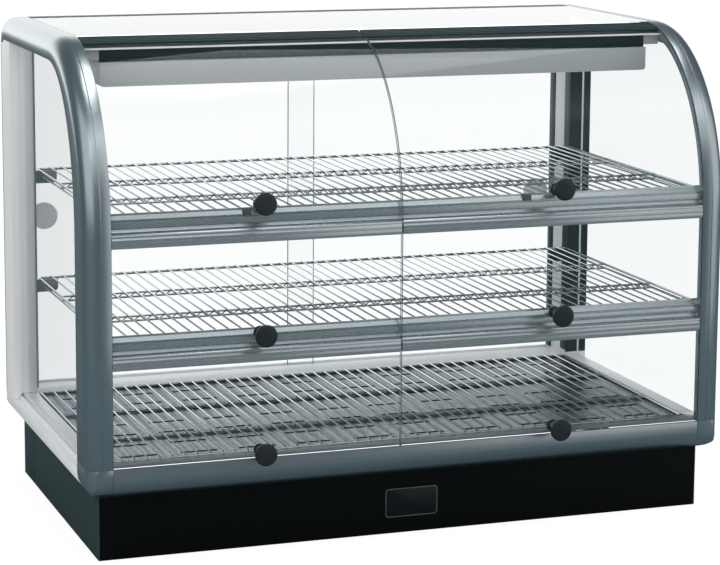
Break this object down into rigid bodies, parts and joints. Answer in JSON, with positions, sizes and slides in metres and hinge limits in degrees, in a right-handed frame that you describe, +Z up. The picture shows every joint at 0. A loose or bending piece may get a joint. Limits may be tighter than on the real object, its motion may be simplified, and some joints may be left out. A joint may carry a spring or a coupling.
{
  "type": "heated display case",
  "caption": "Heated counter display case with a curved glass front, top-hung front flaps on knobs, wire racks, an overhead lamp and sliding rear glass doors.",
  "frame": {"origin": "centre of the bounding box in X and Y, at the underside of the base pan", "axes": "+X along the case to the right seen from the front, +Y towards the rear sliding doors, +Z up"},
  "size_m": [1, 0.621, 0.742],
  "materials": {
    "frame_grey": "satin dark grey",
    "plinth_grey": "satin dark grey-green",
    "panel_black": "semi-gloss black",
    "satin_aluminium": "ribbed satin",
    "pale_aluminium": "satin anodised",
    "stainless": "brushed",
    "chrome": "bright plated",
    "knob_black": "matt",
    "clear_glass": "clear, polished",
    "housing_grey": "satin light grey",
    "lamp_quartz": "frosted quartz",
    "thermostat_plastic": "matt",
    "rocker_red": "gloss"
  },
  "bodies": {
    "case": {"base_pan": "stainless", "plinth_front": "panel_black", "plinth_rear": "plinth_grey", "plinth_side_left": "plinth_grey", "plinth_side_right": "plinth_grey", "front_rail": "frame_grey", "side_rail_left": "pale_aluminium", "side_rail_right": "pale_aluminium", "rear_rail": "pale_aluminium", "front_corner_left": "frame_grey", "front_corner_right": "frame_grey", "end_frame_left": "frame_grey", "end_frame_right": "frame_grey", "end_glass_left": "clear_glass", "end_glass_right": "clear_glass", "rear_post_left": "pale_aluminium", "rear_post_right": "pale_aluminium", "rear_jamb_left": "frame_grey", "rear_jamb_right": "frame_grey", "rear_top_rail": "frame_grey", "front_top_rail": "pale_aluminium", "top_glass": "clear_glass", "shelf_rail_upper": "satin_aluminium", "shelf_rail_lower": "satin_aluminium", "rack_upper": "chrome", "rack_middle": "chrome", "rack_lower": "chrome", "shelf_support_left": "stainless", "shelf_support_right": "stainless", "floor_plate": "stainless", "lamp_housing": "housing_grey", "lamp_tube": "lamp_quartz", "heating_element": "stainless", "thermostat_body": "thermostat_plastic", "switch_housing": "knob_black", "cable_gland": "knob_black"},
    "flap_upper_left": {"flap_glass_upper_left": "clear_glass", "flap_hinge_upper_left": "frame_grey", "flap_knob_upper_left": "knob_black"},
    "flap_upper_right": {"flap_glass_upper_right": "clear_glass", "flap_hinge_upper_right": "frame_grey", "flap_knob_upper_right": "knob_black"},
    "flap_middle_left": {"flap_glass_middle_left": "clear_glass", "flap_hinge_middle_left": "satin_aluminium", "flap_knob_middle_left": "knob_black"},
    "flap_middle_right": {"flap_glass_middle_right": "clear_glass", "flap_hinge_middle_right": "satin_aluminium", "flap_knob_middle_right": "knob_black"},
    "flap_lower_left": {"flap_glass_lower_left": "clear_glass", "flap_hinge_lower_left": "satin_aluminium", "flap_knob_lower_left": "knob_black"},
    "flap_lower_right": {"flap_glass_lower_right": "clear_glass", "flap_hinge_lower_right": "satin_aluminium", "flap_knob_lower_right": "knob_black"},
    "door_left": {"door_glass_left": "clear_glass", "door_pull_left": "knob_black"},
    "door_right": {"door_glass_right": "clear_glass", "door_pull_right": "knob_black"},
    "dial": {"thermostat_dial": "knob_black"},
    "rocker": {"switch_rocker": "rocker_red"}
  },
  "joints": [
    {"name": "flap_upper_left_hinge", "type": "hinge", "parent": "case", "child": "flap_upper_left", "pos_m": [0, -0.0755, 0.7368], "axis": [-1, 0, 0], "range_deg": [0, 65]},
    {"name": "flap_upper_right_hinge", "type": "hinge", "parent": "case", "child": "flap_upper_right", "pos_m": [0, -0.0755, 0.7368], "axis": [-1, 0, 0], "range_deg": [0, 65]},
    {"name": "flap_middle_left_hinge", "type": "hinge", "parent": "case", "child": "flap_middle_left", "pos_m": [0, -0.27, 0.4765], "axis": [-1, 0, 0], "range_deg": [0, 70]},
    {"name": "flap_middle_right_hinge", "type": "hinge", "parent": "case", "child": "flap_middle_right", "pos_m": [0, -0.27, 0.4765], "axis": [-1, 0, 0], "range_deg": [0, 70]},
    {"name": "flap_lower_left_hinge", "type": "hinge", "parent": "case", "child": "flap_lower_left", "pos_m": [0, -0.27, 0.3015], "axis": [-1, 0, 0], "range_deg": [0, 70]},
    {"name": "flap_lower_right_hinge", "type": "hinge", "parent": "case", "child": "flap_lower_right", "pos_m": [0, -0.27, 0.3015], "axis": [-1, 0, 0], "range_deg": [0, 70]},
    {"name": "door_left_slide", "type": "slide", "parent": "case", "child": "door_left", "axis": [1, 0, 0], "range_m": [0, 0.43]},
    {"name": "door_right_slide", "type": "slide", "parent": "case", "child": "door_right", "axis": [-1, 0, 0], "range_m": [0, 0.43]},
    {"name": "dial_turn", "type": "hinge", "parent": "case", "child": "dial", "pos_m": [-0.33, 0.2695, 0.05], "axis": [0, -1, 0], "range_deg": [0, 270]},
    {"name": "rocker_tip", "type": "hinge", "parent": "case", "child": "rocker", "pos_m": [-0.255, 0.2695, 0.05], "axis": [1, 0, 0], "range_deg": [0, 16]}
  ]
}
